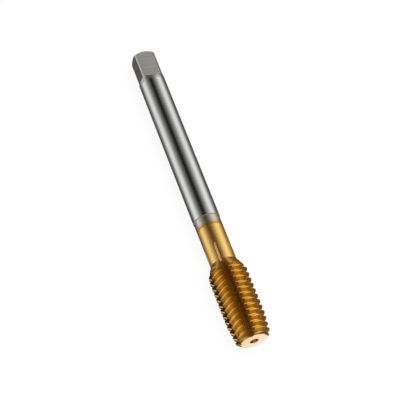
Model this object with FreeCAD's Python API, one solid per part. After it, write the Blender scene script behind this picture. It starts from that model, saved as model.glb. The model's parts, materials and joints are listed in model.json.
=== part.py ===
"""Machine tap that forms a 1/2-13 thread by rolling: one solid steel bar, sizes in millimetres.

The tap lies along X with its working tip at +X and its driven square at -X. The origin is on the
axis, in the middle of the ground round shank. +Z is up, and the tap lies on the mouth of one oil
groove, which points straight down. Cross-section angles are in degrees from +Z towards +Y.
"""

import FreeCAD, Part

import math
import os

from FreeCAD import Vector

# Lengths along the axis, measured back from the tip face
overall_length = 110.8
lead_length = 7.4
thread_length = 24.0
groove_length = 33.8
neck_length = 43.7

# Thread
threads_per_inch = 13.0
thread_diameter = 12.8
thread_depth = 1.2
crest_width = 0.27
flank_half_angle = 30.0
first_crest_setback = 1.36
lobe_count = 5
lobe_relief = 0.15
lobe_lag = 3.0

# Tapered lead and tip
lead_half_angle = 7.1
tip_chamfer_length = 1.23
tip_chamfer_angle = 45.0

# Oil grooves, one between each pair of lobes
groove_depth_in_neck = 0.27
groove_corner_radius = 0.83
groove_wall_offset = 1.0
groove_flank_angle = 47.0
grinding_wheel_radius = 40.0

# Neck and shank
thread_back_angle = 29.7
neck_diameter = 8.68
shank_diameter = 9.0
shank_step_angle = 45.0

# Driven square
square_across_flats = 7.0
square_length = 9.85
square_run_out = 1.0
ground_round_start = 11.8
square_turn = -19.0
end_chamfer_length = 0.6
end_chamfer_depth = 0.9

# Centre holes in both ends
centre_mouth_diameter = 2.9
centre_pilot_diameter = 1.25
centre_pilot_length = 1.6
centre_cone_half_angle = 30.0

inch = 25.4
pitch = inch / threads_per_inch
thread_radius = thread_diameter / 2
root_radius = thread_radius - thread_depth
neck_radius = neck_diameter / 2
shank_radius = shank_diameter / 2
groove_floor_radius = neck_radius - groove_depth_in_neck
tip_x = (neck_length + overall_length - ground_round_start) / 2
drive_x = tip_x - overall_length
lobe_step = 360.0 / lobe_count
beyond = 2.0


def tan(angle):
    return math.tan(math.radians(angle))


def across(angle, radius, x=0.0):
    """The point at an angle and a radius in the cross-section at x."""
    turn = math.radians(angle)
    return Vector(x, radius * math.sin(turn), radius * math.cos(turn))


def turned(outline):
    """A solid of revolution about X from points given as (x, radius).

    A sloping side is a straight spline, so flats and grooves meet it in spline edges.
    """
    corners = [Vector(x, 0, radius) for x, radius in outline]
    sides = []
    for start, end in zip(corners, corners[1:] + corners[:1]):
        side = Part.LineSegment(start, end)
        sloping = start.x != end.x and start.z != end.z
        sides.append((side.toBSpline() if sloping else side).toShape())
    return Part.Face(Part.Wire(sides)).revolve(Vector(0, 0, 0), Vector(1, 0, 0), 360)


def groove_mouth():
    """The two angles at which a groove cuts the thread's crests, seen from its own upright."""
    wall = -math.degrees(math.asin(groove_wall_offset / thread_radius))
    slope = tan(groove_flank_angle)
    side, height = groove_flank_foot()
    offset = side - height * slope
    a = 1 + slope ** 2
    b = 2 * slope * offset
    c = offset ** 2 - thread_radius ** 2
    top = (-b + math.sqrt(b ** 2 - 4 * a * c)) / (2 * a)
    flank = math.degrees(math.atan2(offset + slope * top, top))
    return wall, flank


def groove_flank_foot():
    """Where the sloping side of a groove leaves its rounded corner: (sideways, outwards)."""
    angle = math.radians(groove_flank_angle)
    side = groove_corner_radius * (1 + math.cos(angle)) - groove_wall_offset
    height = groove_floor_radius + groove_corner_radius * (1 - math.sin(angle))
    return side, height


mouth_start, mouth_end = groove_mouth()
mouth_middle = (mouth_start + mouth_end) / 2
groove_uprights = [180 + n * lobe_step - mouth_middle for n in range(lobe_count)]
lobe_angles = [180 + (n + 0.5) * lobe_step + lobe_lag for n in range(lobe_count)]


def lobed_bar():
    """A bar whose section is five shallow arcs that meet at the lobes."""
    back_x = tip_x - groove_length
    arcs = []
    for angle in lobe_angles:
        start = across(angle, thread_radius, back_x)
        middle = across(angle + lobe_step / 2, thread_radius - lobe_relief, back_x)
        end = across(angle + lobe_step, thread_radius, back_x)
        arcs.append(Part.Arc(start, middle, end).toShape())
    return Part.Face(Part.Wire(arcs)).extrude(Vector(groove_length + beyond, 0, 0))


def thread_envelope():
    """The turned outline of the threaded end: chamfered tip, tapered lead and sloping back."""
    chamfer_x = tip_x - tip_chamfer_length
    chamfer_radius = thread_radius - (lead_length - tip_chamfer_length) * tan(lead_half_angle)
    tip_radius = chamfer_radius - tip_chamfer_length * tan(tip_chamfer_angle)
    back_drop = thread_radius - neck_radius
    back_x = tip_x - thread_length
    foot_x = back_x - back_drop / tan(thread_back_angle)
    return turned([
        (foot_x, 0),
        (foot_x, neck_radius),
        (back_x, thread_radius),
        (tip_x - lead_length, thread_radius),
        (chamfer_x, chamfer_radius),
        (tip_x, tip_radius),
        (tip_x, 0),
    ])


def thread_valley():
    """The helical V that is ground out of the threaded end, right-handed about +X."""
    clear_radius = thread_radius + 0.08
    root_half = pitch / 2 - crest_width / 2 - thread_depth * tan(flank_half_angle)
    rim_half = root_half + (clear_radius - root_radius) * tan(flank_half_angle)
    turns_behind = math.ceil((groove_length - first_crest_setback) / pitch)
    start_x = tip_x - first_crest_setback - (turns_behind - 0.5) * pitch
    helix = Part.makeHelix(pitch, tip_x + pitch - start_x, root_radius)
    helix.rotate(Vector(0, 0, 0), Vector(0, 1, 0), 90)
    helix.translate(Vector(start_x, 0, 0))
    corners = [
        Vector(start_x - root_half, 0, -root_radius),
        Vector(start_x + root_half, 0, -root_radius),
        Vector(start_x + rim_half, 0, -clear_radius),
        Vector(start_x - rim_half, 0, -clear_radius),
    ]
    profile = Part.makePolygon(corners + corners[:1])
    return Part.Wire(helix.Edges).makePipeShell([profile], True, True)


def oil_groove(upright):
    """One groove: a straight run out of the tip, then the rise of the grinding wheel in the neck."""
    out = across(upright, 1.0)
    side = across(upright + 90, 1.0)
    run_out = math.sqrt(2 * grinding_wheel_radius * groove_depth_in_neck - groove_depth_in_neck ** 2)
    stop_x = tip_x - groove_length + run_out
    angle = math.radians(groove_flank_angle)
    rim = thread_radius + beyond
    foot_side, foot_out = groove_flank_foot()
    corner_side = groove_corner_radius - groove_wall_offset
    corner_out = groove_floor_radius + groove_corner_radius

    def place(sideways, outwards):
        return Vector(stop_x, 0, 0) + side * sideways + out * outwards

    half_turn = (angle + math.radians(180)) / 2
    low_side = corner_side + groove_corner_radius * math.cos(half_turn)
    low_out = corner_out - groove_corner_radius * math.sin(half_turn)
    rim_side = foot_side + (rim - foot_out) * tan(groove_flank_angle)
    wall_top = place(-groove_wall_offset, rim)
    wall_foot = place(-groove_wall_offset, corner_out)
    flank_foot = place(foot_side, foot_out)
    flank_top = place(rim_side, rim)
    face = Part.Face(Part.Wire([
        Part.LineSegment(wall_top, wall_foot).toShape(),
        Part.Arc(wall_foot, place(low_side, low_out), flank_foot).toShape(),
        Part.LineSegment(flank_foot, flank_top).toShape(),
        Part.LineSegment(flank_top, wall_top).toShape(),
    ]))
    straight = face.extrude(Vector(tip_x + beyond - stop_x, 0, 0))
    wheel_centre = place(0, groove_floor_radius + grinding_wheel_radius)
    rise = face.revolve(wheel_centre, side, 15)
    return straight.fuse(rise)


def shank():
    """Neck, step, round shank and the chamfered end that carries the square."""
    neck_x = tip_x - neck_length
    step = (shank_radius - neck_radius) / tan(shank_step_angle)
    return turned([
        (drive_x, 0),
        (drive_x, shank_radius - end_chamfer_depth),
        (drive_x + end_chamfer_length, shank_radius),
        (neck_x - step, shank_radius),
        (neck_x, neck_radius),
        (tip_x - thread_length - beyond, neck_radius),
        (tip_x - thread_length - beyond, 0),
    ])


def square_flat(angle):
    """What the milling of one flat takes away, with its sloping run-out."""
    flat = square_across_flats / 2
    slope_top = flat + (shank_radius - flat + beyond)
    run = square_run_out * (slope_top - flat) / (shank_radius - flat)
    outline = [
        (drive_x - beyond, flat),
        (drive_x + square_length, flat),
        (drive_x + square_length + run, slope_top),
        (drive_x - beyond, slope_top),
    ]
    edge = across(angle + 90, shank_radius + beyond)
    corners = [across(angle, radius, x) - edge for x, radius in outline]
    return Part.Face(Part.makePolygon(corners + corners[:1])).extrude(edge * 2)


def centre_hole(face_x, inwards):
    """A drilled centre: 60 degree cone, short pilot and drill point. inwards is +1 or -1 along X."""
    mouth = centre_mouth_diameter / 2
    pilot = centre_pilot_diameter / 2
    cone = (mouth - pilot) / tan(centre_cone_half_angle)
    point = pilot / tan(59.0)
    outline = [
        (0.0, 0.0),
        (0.0, mouth),
        (cone, pilot),
        (cone + centre_pilot_length, pilot),
        (cone + centre_pilot_length + point, 0.0),
    ]
    return turned([(face_x + inwards * depth, radius) for depth, radius in outline])


def tap_body():
    thread = thread_envelope().common(lobed_bar()).cut(thread_valley())
    body = thread.fuse(shank())
    for upright in groove_uprights:
        body = body.cut(oil_groove(upright))
    for quarter in range(4):
        body = body.cut(square_flat(square_turn + 90 * quarter))
    body = body.cut(centre_hole(tip_x, -1))
    body = body.cut(centre_hole(drive_x, 1))
    return body


os.makedirs("parts", exist_ok=True)
tap = tap_body()
print("solids", len(tap.Solids), "valid", tap.isValid(), "volume mm3", round(tap.Volume, 2))
tap.Solids[0].exportStep("parts/tap_body.step")
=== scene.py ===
"""Thread tap: a ground steel bar with a milled driving square and a coated forming thread.

The tap lies along X with its tip at +X, on a plain white table. Lengths are in metres where
nothing else is said. Angles round the tap are measured from +Z towards +Y, as seen from the drive
end.
"""

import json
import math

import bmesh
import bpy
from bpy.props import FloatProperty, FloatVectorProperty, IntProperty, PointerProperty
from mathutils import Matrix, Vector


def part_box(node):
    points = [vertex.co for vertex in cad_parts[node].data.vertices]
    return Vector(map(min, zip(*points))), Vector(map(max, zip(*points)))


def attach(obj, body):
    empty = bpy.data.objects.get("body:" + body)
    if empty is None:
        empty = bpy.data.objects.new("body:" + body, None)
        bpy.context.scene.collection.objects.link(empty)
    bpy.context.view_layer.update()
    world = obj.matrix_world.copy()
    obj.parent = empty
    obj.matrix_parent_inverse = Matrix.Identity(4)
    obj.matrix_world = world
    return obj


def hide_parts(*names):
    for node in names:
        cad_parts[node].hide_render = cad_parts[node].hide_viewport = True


bl_info = {
    "name": "Thread Tap",
    "version": (1, 0, 0),
    "blender": (4, 5, 0),
    "location": "View3D > Sidebar > Tap",
    "description": "Builds a thread-forming machine tap and a small studio around it",
    "category": "Add Mesh",
}

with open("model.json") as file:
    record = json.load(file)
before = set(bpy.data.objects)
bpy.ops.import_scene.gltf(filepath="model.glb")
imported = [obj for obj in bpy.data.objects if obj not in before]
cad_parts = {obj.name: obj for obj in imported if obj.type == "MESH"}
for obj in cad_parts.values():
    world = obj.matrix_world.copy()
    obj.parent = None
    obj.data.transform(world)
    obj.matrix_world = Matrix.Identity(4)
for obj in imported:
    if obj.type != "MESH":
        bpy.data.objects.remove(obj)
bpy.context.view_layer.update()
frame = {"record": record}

TAU = 2 * math.pi
MM = 0.001
# Two places closer than this count as one
TOUCH = 0.01 * MM
# A width so small that it stands for a point
POINT = 0.001 * MM
# How far a cutter reaches past the steel that it takes off
OVERSHOOT = 2 * MM
# How far the coil that cuts the thread stands out of the crests
COIL_CLEARANCE = 0.08 * MM
# The faces of the oil grooves are split this far behind the full thread
NECK_SPLIT = 3 * MM
# Facets round a groove's corner, and along the rise at its end and how far that turns
CORNER_STEPS = 14
RISE_STEPS = 16
RISE_TURN = math.radians(15)
# The drill for a centre hole, which starts a little outside the face
CENTRE_PROUD = 0.5 * MM
CENTRE_FACETS = 96
CENTRE_CONE_HALF = math.radians(30)
DRILL_POINT_HALF = math.radians(59)
# Edges that turn by less than this are shaded smooth
SMOOTH_BELOW = math.radians(25)
# A face looks along the tap when more than this much of its normal does
END_ON = 0.9

low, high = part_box("tap_body")
drive_x = low.x
tip_x = high.x
mounts = {mount["name"]: mount for mount in frame["record"]["mounts"]}
shank_radius = mounts["shank"]["dims"]["r_mm"] * MM


def size(name, description, millimetres):
    """A length property whose default is given in millimetres."""
    return FloatProperty(name=name, description=description, default=millimetres * MM,
                         unit="LENGTH", precision=5)


def turn(name, description, degrees):
    """An angle property whose default is given in degrees."""
    return FloatProperty(name=name, description=description, default=math.radians(degrees),
                         unit="ROTATION")


def linear(code):
    """The linear colour of an sRGB hex value."""
    channels = [int(code[i:i + 2], 16) / 255 for i in (0, 2, 4)]
    return [c / 12.92 if c <= 0.04045 else ((c + 0.055) / 1.055) ** 2.4 for c in channels] + [1.0]


def colour(name, description, code):
    """A colour property whose default is an sRGB hex value."""
    return FloatVectorProperty(name=name, description=description, default=linear(code),
                               subtype="COLOR", size=4, min=0.0, max=1.0)


class BlankSizes(bpy.types.PropertyGroup):
    """The turned and ground bar, measured from the tip where nothing else is said."""
    neck_length: size("Neck end", "From the tip to the step up to the shank", 43.7)
    neck_radius: size("Neck radius", "Radius of the neck behind the thread", 4.34)
    thread_length: size("Thread length", "From the tip to the end of the full thread", 24.0)
    thread_radius: size("Thread radius", "Radius over the lobes", 6.4)
    thread_back: turn("Thread back slope", "Slope of the cone from the thread to the neck", 29.7)
    lead_length: size("Lead length", "From the tip to the start of the full thread", 7.4)
    lead_taper: turn("Lead taper", "Half angle of the tapered lead", 7.1)
    tip_chamfer: size("Tip chamfer", "Width of the 45 degree chamfer at the tip", 1.23)
    end_chamfer: size("End chamfer", "Length of the chamfer at the drive end", 0.6)
    end_drop: size("End chamfer depth", "How far that chamfer falls", 0.9)
    ground_start: size("Ground from", "From the drive end to where the shank is ground", 11.8)
    rounds: IntProperty(name="Facets round", description="Facets round the bar", default=240)


class ThreadSizes(bpy.types.PropertyGroup):
    """The forming thread and the lobes that it stands on."""
    pitch: size("Pitch", "From one crest to the next", 25.4 / 13)
    depth: size("Depth", "From crest to root", 1.2)
    crest_width: size("Crest width", "Width of the flat on each crest", 0.27)
    flank: turn("Flank angle", "Half angle of the thread form", 30.0)
    first_crest: size("First crest", "From the tip to the first crest on the underside", 0.83)
    lobes: IntProperty(name="Lobes", description="Lobes and oil grooves round the tap", default=5)
    lobe_relief: size("Lobe relief", "How far the section falls between two lobes", 0.15)
    lobe_lag: turn("Lobe lag", "How far a lobe lies past the middle between two grooves", 3.0)


class GrooveSizes(bpy.types.PropertyGroup):
    """One oil groove, seen along the tap with its upright pointing up."""
    length: size("Groove length", "From the tip to the groove's end in the neck", 33.8)
    depth: size("Depth in the neck", "How deep the groove cuts into the neck", 0.27)
    corner: size("Corner radius", "Radius between its wall and its sloping side", 0.83)
    wall: size("Wall offset", "From the middle plane to the wall", 1.0)
    slope: turn("Slope", "Angle of the sloping side to the wall", 47.0)
    wheel: size("Wheel radius", "Radius of the rise at the groove's end", 40.0)


class SquareSizes(bpy.types.PropertyGroup):
    """The milled driving square and the centre holes."""
    flats: size("Across flats", "Distance between opposite flats", 7.0)
    length: size("Square length", "From the drive end to the end of the flats", 9.85)
    run_out: size("Run-out", "Length of the slope behind a flat", 1.0)
    turned: turn("Square turn", "Direction of the first flat", -19.0)
    centre_mouth: size("Centre mouth", "Radius of a centre hole at its mouth", 1.45)
    centre_pilot: size("Centre pilot", "Radius of a centre hole's pilot", 0.625)
    centre_depth: size("Pilot length", "Length of the pilot", 1.6)


class Finishes(bpy.types.PropertyGroup):
    """Colours of the bare steel and of the coating, and where the coating ends."""
    steel: colour("Ground steel", "Ground high-speed steel", "D8D8D6")
    turned: colour("Turned steel", "Bare steel of the neck", "D4CDC1")
    milled: colour("Milled steel", "Steel of the driving square", "C4C0B8")
    band: colour("Turned band", "Unground steel just behind the square", "BDB6AE")
    film: colour("Steel film", "Dull brownish film in the marks of the turned steel", "B49C80")
    coating: colour("Coating", "Titanium nitride on the neck", "F7D681")
    undertone: colour("Coating undertone", "What the coating scatters from its depth", "ED8000")
    rim: colour("Coating edge", "Tempered line where the coating ends", "C49A5E")
    crest: colour("Thread crest", "Titanium nitride on the ground crests", "D79D4B")
    valley: colour("Thread valley", "Titanium nitride in the ground valleys", "D7AA4E")
    # Painted shade: this dark tone stands for the shade in the hollow of an oil groove
    groove: colour("Oil groove", "Titanium nitride in the ground grooves", "93591D")
    # Painted light: this paler tone stands for the light on the wall side of a groove in the neck
    groove_end: colour("Groove end", "Titanium nitride where a groove runs out into the neck", "E8B478")
    tip: colour("Tip face", "Ground tip face under a thin coating", "FFD8A8")
    # Painted light: the tip face pales to this colour towards its +Y side
    tip_painted_light: colour("Tip face, bare side", "Where that coating is thinnest", "FFE6C6")
    coated_length: size("Coated length", "From the tip to the end of the coating", 40.75)
    fade: size("Coating fade", "Width over which the coating ends", 1.7)


def show_only(piece):
    """Leaves this one object selected and active, in object mode."""
    if bpy.context.object and bpy.context.object.mode != "OBJECT":
        bpy.ops.object.mode_set(mode="OBJECT")
    bpy.ops.object.select_all(action="DESELECT")
    if piece:
        piece.select_set(True)
        bpy.context.view_layer.objects.active = piece


def pick_faces(piece, wanted):
    """In edit mode, selects just the faces that pass the test."""
    mesh = bmesh.from_edit_mesh(piece.data)
    for face in mesh.faces:
        face.select_set(False)
    for face in mesh.faces:
        if wanted(face):
            face.select_set(True)
    bmesh.update_edit_mesh(piece.data)


def pick_vertices(piece, wanted):
    """In edit mode, selects just the vertices that pass the test."""
    mesh = bmesh.from_edit_mesh(piece.data)
    for vertex in mesh.verts:
        vertex.select_set(wanted(vertex))
    bmesh.update_edit_mesh(piece.data)


def extrude(x, y, z):
    """In edit mode, extrudes what is selected by this much."""
    bpy.ops.mesh.extrude_region_move(TRANSFORM_OT_translate={"value": (x, y, z)})


def turn_about_axis(angle):
    """In edit mode, turns what is selected about the tap's axis."""
    bpy.ops.transform.rotate(value=angle, orient_axis="X", center_override=(0, 0, 0))


def repeat_round(count):
    """In edit mode, repeats what is selected until this many stand evenly round the axis."""
    for _ in range(count - 1):
        bpy.ops.mesh.duplicate()
        turn_about_axis(TAU / count)


def cut_away(piece, cutter):
    """Takes the cutter's shape out of the piece and deletes the cutter."""
    show_only(piece)
    boolean = piece.modifiers.new("cut", "BOOLEAN")
    boolean.operation = "DIFFERENCE"
    boolean.solver = "EXACT"
    boolean.object = cutter
    bpy.ops.object.modifier_apply(modifier=boolean.name)
    show_only(cutter)
    bpy.ops.object.delete()
    show_only(piece)


def turned(name, outline, rounds):
    """A closed turned solid: a disc at the first (x, radius), drawn on from station to station."""
    show_only(None)
    x, radius = outline[0]
    bpy.ops.mesh.primitive_circle_add(vertices=rounds, radius=radius, fill_type="NGON",
                                      location=(x, 0, 0), rotation=(0, math.pi / 2, 0))
    piece = bpy.context.object
    piece.name = name
    bpy.ops.object.transform_apply()
    bpy.ops.object.mode_set(mode="EDIT")
    bpy.ops.mesh.select_mode(type="FACE")
    bpy.ops.mesh.select_all(action="SELECT")
    for next_x, next_radius in outline[1:]:
        extrude(next_x - x, 0, 0)
        share = next_radius / radius
        bpy.ops.transform.resize(value=(1, share, share), center_override=(next_x, 0, 0))
        x, radius = next_x, next_radius
    bpy.ops.mesh.select_all(action="SELECT")
    bpy.ops.mesh.normals_make_consistent(inside=False)
    bpy.ops.object.mode_set(mode="OBJECT")
    return piece


def angle_of(point):
    """The angle of a point round the tap, from +Z towards +Y."""
    return math.atan2(point.y, point.z)


class TAP_OT_body(bpy.types.Operator):
    """Build the whole tap as one piece"""
    bl_idname = "tap.body"
    bl_label = "Tap Body"

    def execute(self, context):
        scene = context.scene
        blank, thread = scene.tap_blank, scene.tap_thread
        groove, square = scene.tap_groove, scene.tap_square
        body = make_blank(blank, thread)
        cut_away(body, thread_valley(blank, thread, groove))
        cut_away(body, oil_grooves(blank, thread, groove))
        cut_away(body, square_flats(square))
        cut_away(body, centre_hole(square, tip_x, -1))
        cut_away(body, centre_hole(square, drive_x, 1))
        finish_mesh(body)
        dress(body, scene)
        body.name = "tap"
        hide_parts("tap_body")
        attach(body, "root")
        return {"FINISHED"}


def thread_foot(blank):
    """Where the cone behind the thread comes down to the neck."""
    fall = blank.thread_radius - blank.neck_radius
    return tip_x - blank.thread_length - fall / math.tan(blank.thread_back)


def make_blank(blank, thread):
    """The turned bar, with the section of its threaded stretch pressed in between the lobes."""
    step = shank_radius - blank.neck_radius
    taper_length = blank.lead_length - blank.tip_chamfer
    chamfer_radius = blank.thread_radius - taper_length * math.tan(blank.lead_taper)
    body = turned("tap", [
        (drive_x, shank_radius - blank.end_drop),
        (drive_x + blank.end_chamfer, shank_radius),
        (drive_x + blank.ground_start, shank_radius),
        (tip_x - blank.neck_length - step, shank_radius),
        (tip_x - blank.neck_length, blank.neck_radius),
        (thread_foot(blank), blank.neck_radius),
        (tip_x - blank.thread_length, blank.thread_radius),
        (tip_x - blank.lead_length, blank.thread_radius),
        (tip_x - blank.tip_chamfer, chamfer_radius),
        (tip_x, chamfer_radius - blank.tip_chamfer),
    ], blank.rounds)
    press_in_between_lobes(body, blank, thread)
    return body


def press_in_between_lobes(body, blank, thread):
    """Brings what stands out between two lobes in to an arc that is flatter than the round."""
    lobe_step = TAU / thread.lobes
    lobe_angle = math.pi + lobe_step / 2 + thread.lobe_lag
    half = lobe_step / 2
    reach, fallen = blank.thread_radius, blank.thread_radius - thread.lobe_relief
    shift = (reach ** 2 - fallen ** 2) / (2 * (fallen - reach * math.cos(half)))
    arc_radius = fallen + shift
    for vertex in body.data.vertices:
        radius = math.hypot(vertex.co.y, vertex.co.z)
        off = (angle_of(vertex.co) - lobe_angle) % lobe_step - half
        limit = math.sqrt(arc_radius ** 2 - (shift * math.sin(off)) ** 2) - shift * math.cos(off)
        if radius > limit:
            vertex.co.y *= limit / radius
            vertex.co.z *= limit / radius


def thread_valley(blank, thread, groove):
    """The long V-shaped coil that is ground out between the crests. In the lead it follows the taper."""
    clear = blank.thread_radius + COIL_CLEARANCE
    root = blank.thread_radius - thread.depth
    middle = -(root + clear) / 2
    root_half = thread.pitch / 2 - thread.crest_width / 2 - thread.depth * math.tan(thread.flank)
    rim_half = root_half + (clear - root) * math.tan(thread.flank)
    turns_behind = math.ceil((groove.length - thread.first_crest) / thread.pitch)
    # A valley lies half a pitch beside a crest
    start_x = tip_x - thread.first_crest - (turns_behind - 0.5) * thread.pitch
    turns = math.ceil((tip_x + thread.pitch - start_x) / thread.pitch)
    show_only(None)
    bpy.ops.mesh.primitive_plane_add(size=1, location=(start_x, 0, middle),
                                     rotation=(math.pi / 2, 0, 0))
    valley = bpy.context.object
    bpy.ops.object.transform_apply()
    for vertex in valley.data.vertices:
        outer = vertex.co.z < middle
        half = rim_half if outer else root_half
        vertex.co.x = start_x + math.copysign(half, vertex.co.x - start_x)
        vertex.co.z = -clear if outer else -root
    bpy.ops.object.mode_set(mode="EDIT")
    bpy.ops.mesh.select_all(action="SELECT")
    # The coil starts half a facet on, so that its edges miss those of the blank
    step = TAU / blank.rounds
    turn_about_axis(step / 2)
    bpy.ops.transform.translate(value=(thread.pitch * step / 2 / TAU, 0, 0))
    bpy.ops.mesh.delete(type="ONLY_FACE")
    bpy.ops.object.mode_set(mode="OBJECT")
    screw = valley.modifiers.new("coil", "SCREW")
    screw.axis = "X"
    screw.angle = TAU
    screw.screw_offset = thread.pitch
    screw.iterations = turns
    screw.steps = screw.render_steps = blank.rounds
    screw.use_merge_vertices = False
    bpy.ops.object.modifier_apply(modifier=screw.name)
    bpy.ops.object.mode_set(mode="EDIT")
    bpy.ops.mesh.select_all(action="SELECT")
    bpy.ops.mesh.fill_holes(sides=4)
    bpy.ops.mesh.normals_make_consistent(inside=False)
    bpy.ops.object.mode_set(mode="OBJECT")
    lead_x = tip_x - blank.lead_length
    for vertex in valley.data.vertices:
        drop = max(0.0, vertex.co.x - lead_x) * math.tan(blank.lead_taper)
        share = 1 - drop / math.hypot(vertex.co.y, vertex.co.z)
        vertex.co.y *= share
        vertex.co.z *= share
    return valley


def groove_flank_foot(blank, groove):
    """Where the sloping side leaves the rounded corner: sideways and outwards."""
    floor = blank.neck_radius - groove.depth
    side = groove.corner * (1 + math.cos(groove.slope)) - groove.wall
    return side, floor + groove.corner * (1 - math.sin(groove.slope))


def groove_mouth_middle(blank, groove):
    """The angle from a groove's upright to the middle of its mouth in the crests."""
    radius = blank.thread_radius
    wall = -math.asin(groove.wall / radius)
    slope = math.tan(groove.slope)
    side, height = groove_flank_foot(blank, groove)
    offset = side - height * slope
    # Where the line of the sloping side meets the round of the crests
    a = 1 + slope ** 2
    b = 2 * slope * offset
    top = (-b + math.sqrt(b ** 2 - 4 * a * (offset ** 2 - radius ** 2))) / (2 * a)
    flank = math.atan2(offset + slope * top, top)
    return (wall + flank) / 2


def oil_grooves(blank, thread, groove):
    """What the wheel grinds out: one long round-cornered notch with a rise, repeated round the tap."""
    floor = blank.neck_radius - groove.depth
    run_out = math.sqrt(2 * groove.wheel * groove.depth - groove.depth ** 2)
    stop_x = tip_x - groove.length + run_out
    rim = blank.thread_radius + OVERSHOOT
    foot_side, foot_out = groove_flank_foot(blank, groove)
    rim_side = foot_side + (rim - foot_out) * math.tan(groove.slope)
    corner = Vector((stop_x, groove.corner - groove.wall, floor + groove.corner))
    show_only(None)
    bpy.ops.mesh.primitive_plane_add(size=MM, location=(stop_x, -groove.wall, corner.z))
    cutter = bpy.context.object
    bpy.ops.object.transform_apply()
    bpy.ops.object.mode_set(mode="EDIT")
    bpy.ops.mesh.select_mode(type="VERT")
    bpy.ops.mesh.select_all(action="SELECT")
    bpy.ops.mesh.merge(type="CENTER")
    extrude(0, 0, rim - corner.z)
    pick_vertices(cutter, lambda vertex: abs(vertex.co.z - corner.z) < TOUCH)
    bpy.ops.mesh.spin(steps=CORNER_STEPS, angle=-(math.pi - groove.slope), center=corner,
                      axis=(1, 0, 0))
    extrude(0, rim_side - foot_side, rim - foot_out)
    bpy.ops.mesh.select_all(action="SELECT")
    bpy.ops.mesh.edge_face_add()
    bpy.ops.mesh.select_mode(type="FACE")
    neck_stretch = tip_x - blank.thread_length - NECK_SPLIT - stop_x
    for reach in (neck_stretch, tip_x + OVERSHOOT - stop_x - neck_stretch):
        extrude(reach, 0, 0)
    pick_faces(cutter, lambda face: all(abs(v.co.x - stop_x) < TOUCH for v in face.verts))
    bpy.ops.mesh.spin(steps=RISE_STEPS, angle=-RISE_TURN, center=(stop_x, 0, floor + groove.wheel),
                      axis=(0, 1, 0))
    bpy.ops.mesh.select_all(action="SELECT")
    bpy.ops.mesh.normals_make_consistent(inside=False)
    turn_about_axis(math.pi - groove_mouth_middle(blank, groove))
    repeat_round(thread.lobes)
    bpy.ops.object.mode_set(mode="OBJECT")
    return cutter


def square_flats(square):
    """What the cutter mills off for the square: four blocks with a sloping inner end."""
    flat = square.flats / 2
    top = shank_radius + OVERSHOOT
    middle = (flat + top) / 2
    back_x, inner_x = drive_x - OVERSHOOT, drive_x + square.length
    run = square.run_out * (top - flat) / (shank_radius - flat)
    show_only(None)
    bpy.ops.mesh.primitive_cube_add(size=1, location=((back_x + inner_x) / 2, 0, middle),
                                    scale=(inner_x - back_x, 4 * shank_radius, top - flat))
    cutter = bpy.context.object
    bpy.ops.object.transform_apply()
    bpy.ops.object.mode_set(mode="EDIT")
    bpy.ops.mesh.select_mode(type="FACE")
    pick_faces(cutter, lambda face: face.normal.x > END_ON)
    extrude(run, 0, 0)
    bpy.ops.mesh.select_mode(type="VERT")
    pick_vertices(cutter, lambda vertex: vertex.co.x > inner_x + run / 2 and vertex.co.z < middle)
    bpy.ops.transform.translate(value=(0, 0, top - flat))
    bpy.ops.mesh.select_all(action="SELECT")
    bpy.ops.mesh.remove_doubles(threshold=POINT)
    bpy.ops.mesh.normals_make_consistent(inside=False)
    turn_about_axis(square.turned)
    repeat_round(4)
    bpy.ops.object.mode_set(mode="OBJECT")
    return cutter


def centre_hole(square, face_x, inwards):
    """A drilled centre: a little beyond the face, a 60 degree cone, a pilot and a drill point."""
    widening = math.tan(CENTRE_CONE_HALF)
    cone = (square.centre_mouth - square.centre_pilot) / widening
    point = square.centre_pilot / math.tan(DRILL_POINT_HALF)
    outline = [
        (-CENTRE_PROUD, square.centre_mouth + CENTRE_PROUD * widening),
        (cone, square.centre_pilot),
        (cone + square.centre_depth, square.centre_pilot),
        (cone + square.centre_depth + point, POINT),
    ]
    return turned("centre", [(face_x + inwards * depth, radius) for depth, radius in outline],
                  CENTRE_FACETS)


def finish_mesh(body):
    """Joins what the cuts left double and shades the round faces smooth."""
    show_only(body)
    bpy.ops.object.mode_set(mode="EDIT")
    bpy.ops.mesh.select_all(action="SELECT")
    bpy.ops.mesh.remove_doubles(threshold=POINT / 2)
    bpy.ops.mesh.dissolve_degenerate(threshold=POINT / 2)
    bpy.ops.object.mode_set(mode="OBJECT")
    bpy.ops.object.shade_smooth_by_angle(angle=SMOOTH_BELOW)


def add_node(tree, kind, settings=None, **inputs):
    """Adds a node, sets its settings, and sets or links its inputs by name or number."""
    node = tree.nodes.new(kind)
    for key, value in (settings or {}).items():
        setattr(node, key, value)
    for key, value in inputs.items():
        numbered = key[0] == "_" and key[1:].isdigit()
        socket = node.inputs[int(key[1:]) if numbered else key.replace("_", " ")]
        if isinstance(value, bpy.types.NodeSocket):
            tree.links.new(value, socket)
        else:
            socket.default_value = value
    return node


def calculate(tree, operation, *values):
    """What a math node makes of one to three values."""
    inputs = {f"_{index}": value for index, value in enumerate(values)}
    return add_node(tree, "ShaderNodeMath", {"operation": operation}, **inputs).outputs[0]


def mixed_shader(tree, share, first, second):
    """Two shaders in one, with this share of the second."""
    return add_node(tree, "ShaderNodeMixShader", _0=share, _1=first, _2=second).outputs[0]


def new_material(name):
    """A named material and its empty node tree."""
    material = bpy.data.materials.new(name)
    material.use_nodes = True
    material.node_tree.nodes.clear()
    return material, material.node_tree


def with_surface(material, shader):
    """The material, with this shader for its surface."""
    add_node(material.node_tree, "ShaderNodeOutputMaterial", Surface=shader)
    return material


def object_place(tree):
    """The shaded point in its object's own coordinates, in metres."""
    return add_node(tree, "ShaderNodeTexCoord").outputs["Object"]


def coordinates(tree, place):
    """The three coordinates of a place, under their names."""
    return add_node(tree, "ShaderNodeSeparateXYZ", Vector=place).outputs


def axis_direction(tree):
    """The direction along the tap."""
    return add_node(tree, "ShaderNodeCombineXYZ", X=1.0).outputs[0]


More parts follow.
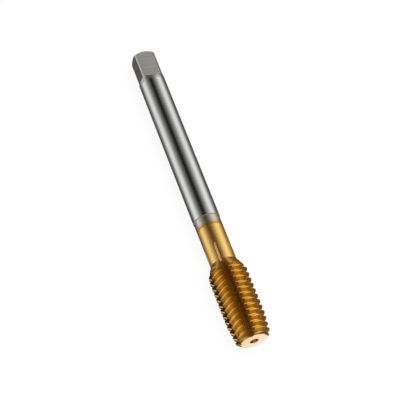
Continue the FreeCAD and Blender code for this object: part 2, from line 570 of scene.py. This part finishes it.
def grain(tree, along, across):
    """Noise drawn out as tool marks: so many to the millimetre along the axis and across it."""
    stretch = (along / MM, across / MM, across / MM)
    spread = add_node(tree, "ShaderNodeVectorMath", {"operation": "MULTIPLY"},
                      _0=object_place(tree), _1=stretch)
    return add_node(tree, "ShaderNodeTexNoise", Vector=spread.outputs[0], Scale=1.0,
                    Detail=3.0).outputs[0]


def ranged(tree, value, first, last, start=0.3, end=0.7):
    """Maps a stretch of the value, by default the middle of a noise, to first and last."""
    return add_node(tree, "ShaderNodeMapRange", Value=value, From_Min=start, From_Max=end,
                    To_Min=first, To_Max=last).outputs[0]


def ramp(tree, share, tones, interpolation="LINEAR"):
    """A colour ramp from (position, colour) pairs. The first two pairs set the stops it starts with."""
    node = add_node(tree, "ShaderNodeValToRGB", Fac=share)
    node.color_ramp.interpolation = interpolation
    stops = node.color_ramp.elements
    for index, (position, tone) in enumerate(tones):
        stop = stops[index] if index < 2 else stops.new(position)
        stop.position = position
        stop.color = tone
    return node.outputs[0]


def grey(level):
    """A colour of this level in every channel."""
    return level, level, level, 1.0


def shaded(tree, tone, marks, weak, strong):
    """A colour made a little darker and lighter by the marks."""
    level = ranged(tree, marks, weak, strong)
    levels = add_node(tree, "ShaderNodeCombineColor", Red=level, Green=level, Blue=level)
    return add_node(tree, "ShaderNodeMix", {"data_type": "RGBA", "blend_type": "MULTIPLY"}, _0=1.0,
                    _6=tone, _7=levels.outputs[0]).outputs[2]


def marked_metal(tree, tone, marks, shades, roughness, height, **settings):
    """A metal shader whose marks shade it, vary its gloss and stand up by this many millimetres."""
    bump = add_node(tree, "ShaderNodeBump", Height=marks, Strength=0.3, Distance=height * MM)
    return add_node(tree, "ShaderNodeBsdfPrincipled", Base_Color=shaded(tree, tone, marks, *shades),
                    Metallic=1.0, Roughness=ranged(tree, marks, *roughness), Normal=bump.outputs[0],
                    **settings).outputs[0]


def over_undertone(tree, metal, undertone, share):
    """A metal with a small share of matt undertone, which warms what would be black in it."""
    matt = add_node(tree, "ShaderNodeBsdfDiffuse", Color=undertone)
    return mixed_shader(tree, share, metal, matt.outputs[0])


def with_haze(tree, metal, undertone, share):
    """A metal with a share of wide, soft gloss in the undertone, which stays dark at the sides."""
    haze = add_node(tree, "ShaderNodeBsdfPrincipled", Base_Color=undertone, Metallic=1.0, Roughness=0.6)
    return mixed_shader(tree, share, metal, haze.outputs[0])


def ground_steel(finishes):
    """Cylindrically ground high-speed steel: a bright mirror drawn out along the bar by the fine
    grinding lines that run round it."""
    material, tree = new_material("ground_high_speed_steel")
    lines = grain(tree, 7.0, 0.06)
    metal = marked_metal(tree, finishes.steel, lines, (0.94, 1.04), (0.17, 0.25), 0.001,
                         Anisotropic=0.6, Tangent=axis_direction(tree))
    return with_surface(material, metal)


def coated_neck(finishes):
    """Turned neck: satin steel up to where the titanium nitride starts, with the tempered line
    between the two."""
    material, tree = new_material("titanium_nitride_on_steel")
    end_x = tip_x - finishes.coated_length
    share = ranged(tree, coordinates(tree, object_place(tree))["X"], 0.0, 1.0,
                   end_x - finishes.fade / 2, end_x + finishes.fade / 2)
    tone = ramp(tree, share, ((0.0, finishes.turned), (1.0, finishes.coating),
                              (0.55, finishes.rim), (0.7, finishes.rim)))
    under = ramp(tree, share, ((0.0, finishes.film), (1.0, finishes.undertone)))
    lines = grain(tree, 5.0, 0.08)
    metal = marked_metal(tree, tone, lines, (0.95, 1.03), (0.25, 0.31), 0.0006)
    hazy = with_haze(tree, metal, under, 0.1)
    return with_surface(material, over_undertone(tree, hazy, under, 0.065))


def coated_crest(finishes):
    """Titanium nitride on the ground crests, with the fine lines of the wheel round the tap."""
    material, tree = new_material("titanium_nitride_on_thread_crests")
    lines = grain(tree, 6.0, 0.3)
    metal = marked_metal(tree, finishes.crest, lines, (0.92, 1.05), (0.14, 0.22), 0.001)
    return with_surface(material, over_undertone(tree, metal, finishes.undertone, 0.05))


def coated_valley(finishes):
    """Titanium nitride in the thread's valleys and on its flanks, deeper and duller in the hollows."""
    material, tree = new_material("titanium_nitride_in_thread_valleys")
    marks = grain(tree, 1.6, 0.5)
    metal = marked_metal(tree, finishes.valley, marks, (0.82, 1.12), (0.18, 0.28), 0.003)
    return with_surface(material, over_undertone(tree, metal, finishes.undertone, 0.03))


def lengthwise_ground(name, tone, undertone, share):
    """Titanium nitride on steel that was ground lengthwise: dull, with fine lines along the tap."""
    material, tree = new_material(name)
    lines = grain(tree, 0.05, 4.0)
    metal = marked_metal(tree, tone, lines, (0.85, 1.1), (0.45, 0.55), 0.002, Anisotropic=0.85,
                         Anisotropic_Rotation=0.25, Tangent=axis_direction(tree))
    return with_surface(material, over_undertone(tree, metal, undertone, share))


def coated_groove_painted_shade(finishes):
    """Oil grooves between the thread's lands, in a dark tone that is painted shade for the hollow of the
    groove.
    """
    return lengthwise_ground("titanium_nitride_in_oil_grooves_painted_shade", finishes.groove,
                             finishes.undertone, 0.04)


def coated_groove_end_painted_light(finishes):
    """The wall side of an oil groove where it runs out into the neck, in a paler tone that is painted
    light for the side open to the light.
    """
    return lengthwise_ground("titanium_nitride_on_groove_ends_painted_light", finishes.groove_end,
                             finishes.groove_end, 0.3)


def turned_band(finishes):
    """The short band behind the square that the grinding wheel didn't reach: dull turned steel."""
    material, tree = new_material("turned_steel")
    lines = grain(tree, 4.0, 0.1)
    metal = marked_metal(tree, finishes.band, lines, (0.92, 1.05), (0.3, 0.4), 0.002)
    return with_surface(material, over_undertone(tree, metal, finishes.film, 0.06))


def milled_steel(finishes):
    """Milled flats: matt steel with the feed lines of the cutter."""
    material, tree = new_material("milled_steel")
    lines = grain(tree, 2.2, 0.12)
    metal = marked_metal(tree, finishes.milled, lines, (0.88, 1.08), (0.3, 0.4), 0.003)
    return with_surface(material, metal)


def tip_finish(finishes):
    """Ground tip face: fine rings under a thin coating, with painted light that pales the face towards
    its +Y side.
    """
    material, tree = new_material("ground_tip_face_with_painted_light")
    parts = coordinates(tree, object_place(tree))
    across = add_node(tree, "ShaderNodeCombineXYZ", Y=parts["Y"], Z=parts["Z"])
    radius = add_node(tree, "ShaderNodeVectorMath", {"operation": "LENGTH"}, _0=across.outputs[0])
    rings = add_node(tree, "ShaderNodeTexNoise", {"noise_dimensions": "1D"},
                     W=radius.outputs["Value"], Scale=9 / MM, Detail=3.0).outputs[0]
    # Painted light: the face has the tip colour at the first of these places across it and the paler
    # painted-light colour at the second
    bare = ranged(tree, parts["Y"], 0.0, 1.0, -3.5 * MM, 4.0 * MM)
    tone = add_node(tree, "ShaderNodeMix", {"data_type": "RGBA"}, _0=bare, _6=finishes.tip,
                    _7=finishes.tip_painted_light).outputs[2]
    metal = marked_metal(tree, tone, rings, (0.97, 1.02), (0.2, 0.28), 0.0005)
    return with_surface(material, metal)


FINISH_MAKERS = (ground_steel, coated_neck, milled_steel, tip_finish, coated_valley, coated_groove_painted_shade,
                 turned_band, coated_crest, coated_groove_end_painted_light)

# How much of a face's normal points straight outwards: on a round, on a crest and on the chamfer
# at the tip
ROUND = 0.98
CREST = 0.9
CHAMFER_LEAST, CHAMFER_MOST = 0.6, 0.8
# How much of a normal points along the tap: at most on a long cut, and at least on the tip face
LENGTHWISE = 0.03
TIP_ON = 0.99
# The sine of a groove face's turn against the radius, above which the face is on the wall's side
WALL_SIDE = -0.2
# How far below the lobes a face may lie and still be a crest, in the tapered lead too
CREST_DROP = 0.95 * MM
# The stretches with grooves and with a neck are taken this much longer
MARGIN = 0.5 * MM


def threaded_end_finish(face, radius, outwards, blank, square):
    """The finish of a face of the threaded end or of the grooves in the neck."""
    centre, normal = face.center, face.normal
    if normal.x > TIP_ON and centre.x > tip_x - TOUCH:
        return tip_finish
    if radius < square.centre_mouth:
        return coated_valley
    if centre.x < thread_foot(blank):
        if outwards > ROUND and radius > blank.neck_radius - 2 * TOUCH:
            return coated_neck
        # In the neck the wall side of a groove takes the paler tone, painted light, and the other side
        # the dark tone, painted shade
        wall_side = math.sin(angle_of(normal) - angle_of(centre)) > WALL_SIDE
        return coated_groove_end_painted_light if wall_side else coated_groove_painted_shade
    # Groove faces along the thread take the dark tone, painted shade
    if abs(outwards) < ROUND and abs(normal.x) < LENGTHWISE:
        return coated_groove_painted_shade
    crest = outwards > CREST and radius > blank.thread_radius - CREST_DROP
    on_chamfer = centre.x > tip_x - blank.tip_chamfer and CHAMFER_LEAST < outwards < CHAMFER_MOST
    return coated_crest if crest or on_chamfer else coated_valley


def finish_of(face, blank, groove, square):
    """The finish of a face, from where it lies and which way it looks."""
    centre, normal = face.center, face.normal
    radius = math.hypot(centre.y, centre.z)
    outwards = (normal.y * centre.y + normal.z * centre.z) / max(radius, TOUCH)
    flats_end = drive_x + square.length
    if centre.x > tip_x - groove.length - MARGIN:
        return threaded_end_finish(face, radius, outwards, blank, square)
    if centre.x > tip_x - blank.neck_length - MARGIN:
        return coated_neck
    milled = radius < shank_radius - 5 * TOUCH or outwards < CREST
    if centre.x < flats_end + square.run_out and milled:
        return milled_steel
    if flats_end < centre.x < drive_x + blank.ground_start:
        return turned_band
    return ground_steel


def dress(body, scene):
    """Gives each face the finish of its own stretch of the tap."""
    for maker in FINISH_MAKERS:
        body.data.materials.append(maker(scene.tap_finish))
    for face in body.data.polygons:
        maker = finish_of(face, scene.tap_blank, scene.tap_groove, scene.tap_square)
        face.material_index = FINISH_MAKERS.index(maker)


class StudioSettings(bpy.types.PropertyGroup):
    """The camera's place, turn and lens."""
    azimuth: turn("Azimuth", "Direction of the camera round the vertical", 38.2197)
    elevation: turn("Elevation", "Height of the camera above the table, as an angle", 41.7657)
    roll: turn("Roll", "Turn of the camera about its own axis", 40.7143)
    distance: size("Distance", "From the camera to its target", 419.75)
    target: FloatVectorProperty(name="Target", description="Where the camera looks", unit="LENGTH",
                                default=(19.7195 * MM, 0.3397 * MM, 0.3011 * MM))
    lens: FloatProperty(name="Lens", description="Focal length in millimetres", default=117.55)


class TAP_OT_stage(bpy.types.Operator):
    """Set up the table, the light tent and the camera"""
    bl_idname = "tap.stage"
    bl_label = "Studio Stage"

    def execute(self, context):
        studio = context.scene.tap_studio
        make_camera(studio)
        make_floor()
        make_tent()
        make_lights()
        context.scene.view_settings.view_transform = "Standard"
        return {"FINISHED"}


# The width in millimetres that the focal length is given for
SENSOR_WIDTH = 36


def make_camera(studio):
    """The camera at the photograph's place, turned about its own axis."""
    show_only(None)
    bpy.ops.object.camera_add()
    camera = bpy.context.object
    camera.data.lens = studio.lens
    camera.data.sensor_width = SENSOR_WIDTH
    a, e = studio.azimuth, studio.elevation
    back = Vector((math.sin(a) * math.cos(e), -math.cos(a) * math.cos(e), math.sin(e)))
    right = Vector((math.cos(a), math.sin(a), 0))
    up = back.cross(right)
    side = right * math.cos(studio.roll) + up * math.sin(studio.roll)
    top = back.cross(side)
    place = Vector(studio.target) + back * studio.distance
    camera.matrix_world = Matrix.Translation(place) @ Matrix((side, top, back)).transposed().to_4x4()
    bpy.context.scene.camera = camera


def background_share(tree):
    """1 on rays that see the background as it is: from the camera, or by way of gloss or glass."""
    rays = add_node(tree, "ShaderNodeLightPath").outputs
    shiny = calculate(tree, "MAXIMUM", rays["Is Glossy Ray"], rays["Is Transmission Ray"])
    return calculate(tree, "MAXIMUM", rays["Is Camera Ray"], shiny)


WHITE = (1.0, 1.0, 1.0, 1.0)
TABLE_SIZE = 6
# How white the table shows itself. The rest is left to its shadow
TABLE_WHITENESS = 0.93


def make_floor():
    """A white table that keeps the tap's shadow."""
    show_only(None)
    bpy.ops.mesh.primitive_plane_add(size=TABLE_SIZE, location=(0, 0, low.z))
    floor = bpy.context.object
    floor.name = "table"
    material, tree = new_material("white_table")
    lit = add_node(tree, "ShaderNodeBsdfDiffuse", Color=linear("FAFAFA"))
    white = add_node(tree, "ShaderNodeEmission", Color=WHITE, Strength=1.0)
    share = calculate(tree, "MULTIPLY", background_share(tree), TABLE_WHITENESS)
    surface = mixed_shader(tree, share, lit.outputs[0], white.outputs[0])
    floor.data.materials.append(with_surface(material, surface))
    floor.visible_glossy = False


# The direction round the tap from which the camera sees it
FACING = math.radians(-41.3)
TENT_FACETS = 96
TENT_RADIUS = 0.35
TENT_FRONT = 0.15
TENT_BACK = -1.0
# The tent's three cloths, in the order of its material slots
WALL, FRONT, BACK = range(3)
# The light of the tent's wall, as (degrees to either side of FACING, brightness)
WALL_LEVELS = ((0, 0.01), (8, 0.02), (15, 0.08), (30, 0.2), (44, 0.45), (62, 0.95), (76, 1.05),
               (88, 0.9), (104, 0.4), (120, 0.12), (180, 0.08))
# Two strips of light on the wall near the tip, as (gain, then the degrees from FACING where one
# begins, is full, starts to fade and has ended)
STRIPS = ((0.62, 16, 38, 58, 84), (0.12, -22, -44, -74, -96))
# The strips fade in between these two places along the tent
STRIPS_START = -0.16
STRIPS_FULL = -0.05
# The light of the front end, as (metres beside its middle, brightness), the two sides first
FRONT_HALF_WIDTH = 0.08
FRONT_LEVELS = ((-0.08, 0.1), (0.08, 0.1), (-0.062, 0.35), (-0.045, 0.6), (-0.03, 0.3), (-0.01, 0.12),
                (0.008, 0.12), (0.02, 0.5), (0.045, 0.6), (0.062, 0.3))
# The tip face mirrors the low part of the front end, which is lit from here down to full brightness
FRONT_LIT_FROM = -0.11
FRONT_LIT_FULLY = -0.17
FRONT_BRIGHTNESS = 1.2
BACK_BRIGHTNESS = 0.1


def smooth_step(tree, value, start, end):
    """0 before start and 1 after end, eased between the two. start may be the larger one."""
    rising = start < end
    return add_node(tree, "ShaderNodeMapRange", {"interpolation_type": "SMOOTHSTEP"}, Value=value,
                    From_Min=min(start, end), From_Max=max(start, end),
                    To_Min=0.0 if rising else 1.0, To_Max=1.0 if rising else 0.0).outputs[0]


def dot(tree, place, direction):
    """How far a point lies in this direction."""
    return add_node(tree, "ShaderNodeVectorMath", {"operation": "DOT_PRODUCT"}, _0=place,
                    _1=direction).outputs["Value"]


def glowing(material, brightness):
    """The material as cloth that gives this much white light."""
    cloth = add_node(material.node_tree, "ShaderNodeEmission", Color=WHITE, Strength=brightness)
    return with_surface(material, cloth.outputs[0])


def tent_wall():
    """White cloth, bright to both sides of the lens, with a strip of light on each side of the tip."""
    material, tree = new_material("lit_tent_cloth")
    parts = coordinates(tree, object_place(tree))
    angle = calculate(tree, "ARCTAN2", parts["Y"], parts["Z"])
    turned_by = calculate(tree, "SUBTRACT", angle, FACING)
    off = calculate(tree, "WRAP", turned_by, math.pi, -math.pi)
    share = calculate(tree, "DIVIDE", calculate(tree, "ABSOLUTE", off), math.pi)
    levels = [(degrees / 180, grey(level)) for degrees, level in WALL_LEVELS]
    glow = ramp(tree, share, levels, "EASE")
    by_tip = smooth_step(tree, parts["X"], STRIPS_START, STRIPS_FULL)
    for gain, outer, first, last, end in STRIPS:
        begins = smooth_step(tree, off, math.radians(outer), math.radians(first))
        ends = smooth_step(tree, off, math.radians(end), math.radians(last))
        strip = calculate(tree, "MULTIPLY", calculate(tree, "MULTIPLY", begins, ends), by_tip)
        glow = calculate(tree, "MULTIPLY_ADD", strip, gain, glow)
    return glowing(material, glow)


def tent_front():
    """Dim cloth with two soft upright strips and a bright low part, all mirrored by the tip."""
    material, tree = new_material("tent_front_end")
    place = object_place(tree)
    height = dot(tree, place, (0, math.sin(FACING), math.cos(FACING)))
    side = dot(tree, place, (0, math.cos(FACING), -math.sin(FACING)))
    beside = ranged(tree, side, 0.0, 1.0, -FRONT_HALF_WIDTH, FRONT_HALF_WIDTH)
    levels = [(distance / FRONT_HALF_WIDTH / 2 + 0.5, grey(level)) for distance, level in FRONT_LEVELS]
    strips = ramp(tree, beside, levels, "EASE")
    lower = smooth_step(tree, height, FRONT_LIT_FROM, FRONT_LIT_FULLY)
    bright = calculate(tree, "MULTIPLY", lower, FRONT_BRIGHTNESS)
    return glowing(material, calculate(tree, "MAXIMUM", bright, strips))


def make_tent():
    """The light tent round the tap, seen only in its reflections: bright to both sides of the lens,
    dark behind the lens and under the tap."""
    show_only(None)
    bpy.ops.mesh.primitive_cylinder_add(vertices=TENT_FACETS, radius=TENT_RADIUS,
                                        depth=TENT_FRONT - TENT_BACK, end_fill_type="NGON",
                                        location=((TENT_FRONT + TENT_BACK) / 2, 0, 0),
                                        rotation=(0, math.pi / 2, 0))
    tent = bpy.context.object
    tent.name = "light_tent"
    bpy.ops.object.transform_apply()
    dim_cloth, _ = new_material("tent_back_end")
    for material in (tent_wall(), tent_front(), glowing(dim_cloth, BACK_BRIGHTNESS)):
        tent.data.materials.append(material)
    for face in tent.data.polygons:
        ahead = face.normal.x
        face.material_index = FRONT if ahead > END_ON else BACK if ahead < -END_ON else WALL
        face.use_smooth = abs(ahead) < END_ON
    tent.visible_camera = False
    tent.visible_diffuse = False
    tent.visible_shadow = False


LAMP_HEIGHT = 1.0
LAMP_SIZE = 0.8
LAMP_WATTS = 8
ROOM_LIGHT = 0.6


def make_lights():
    """A soft lamp over the table for the shadow, and a white world."""
    show_only(None)
    bpy.ops.object.light_add(type="AREA", location=(0, 0, LAMP_HEIGHT))
    lamp = bpy.context.object
    lamp.data.shape = "SQUARE"
    lamp.data.size = LAMP_SIZE
    lamp.data.energy = LAMP_WATTS
    lamp.visible_glossy = False
    world = bpy.data.worlds.new("white_room")
    world.use_nodes = True
    bpy.context.scene.world = world
    tree = world.node_tree
    tree.nodes.clear()
    seen = add_node(tree, "ShaderNodeBackground", Color=WHITE, Strength=1.0)
    lighting = add_node(tree, "ShaderNodeBackground", Color=WHITE, Strength=ROOM_LIGHT)
    surface = mixed_shader(tree, background_share(tree), lighting.outputs[0], seen.outputs[0])
    add_node(tree, "ShaderNodeOutputWorld", Surface=surface)


class TAP_PT_panel(bpy.types.Panel):
    """Sizes, finishes and the two steps"""
    bl_label = "Thread Tap"
    bl_idname = "TAP_PT_panel"
    bl_space_type = "VIEW_3D"
    bl_region_type = "UI"
    bl_category = "Tap"

    def draw(self, context):
        for group in GROUPS:
            settings = getattr(context.scene, group)
            box = self.layout.box()
            box.label(text=group)
            for name in settings.__annotations__:
                box.prop(settings, name)
        self.layout.operator("tap.body")
        self.layout.operator("tap.stage")


GROUPS = {"tap_blank": BlankSizes, "tap_thread": ThreadSizes, "tap_groove": GrooveSizes,
          "tap_square": SquareSizes, "tap_finish": Finishes, "tap_studio": StudioSettings}
CLASSES = (*GROUPS.values(), TAP_OT_body, TAP_OT_stage, TAP_PT_panel)


def register():
    """Adds the classes and their settings."""
    for item in CLASSES:
        bpy.utils.register_class(item)
    for name, group in GROUPS.items():
        setattr(bpy.types.Scene, name, PointerProperty(type=group))


def unregister():
    """Takes them away again."""
    for name in GROUPS:
        delattr(bpy.types.Scene, name)
    for item in reversed(CLASSES):
        bpy.utils.unregister_class(item)


def main():
    """Builds the tap and its stage."""
    register()
    bpy.ops.tap.body()
    bpy.ops.tap.stage()


if __name__ == "__main__":
    main()
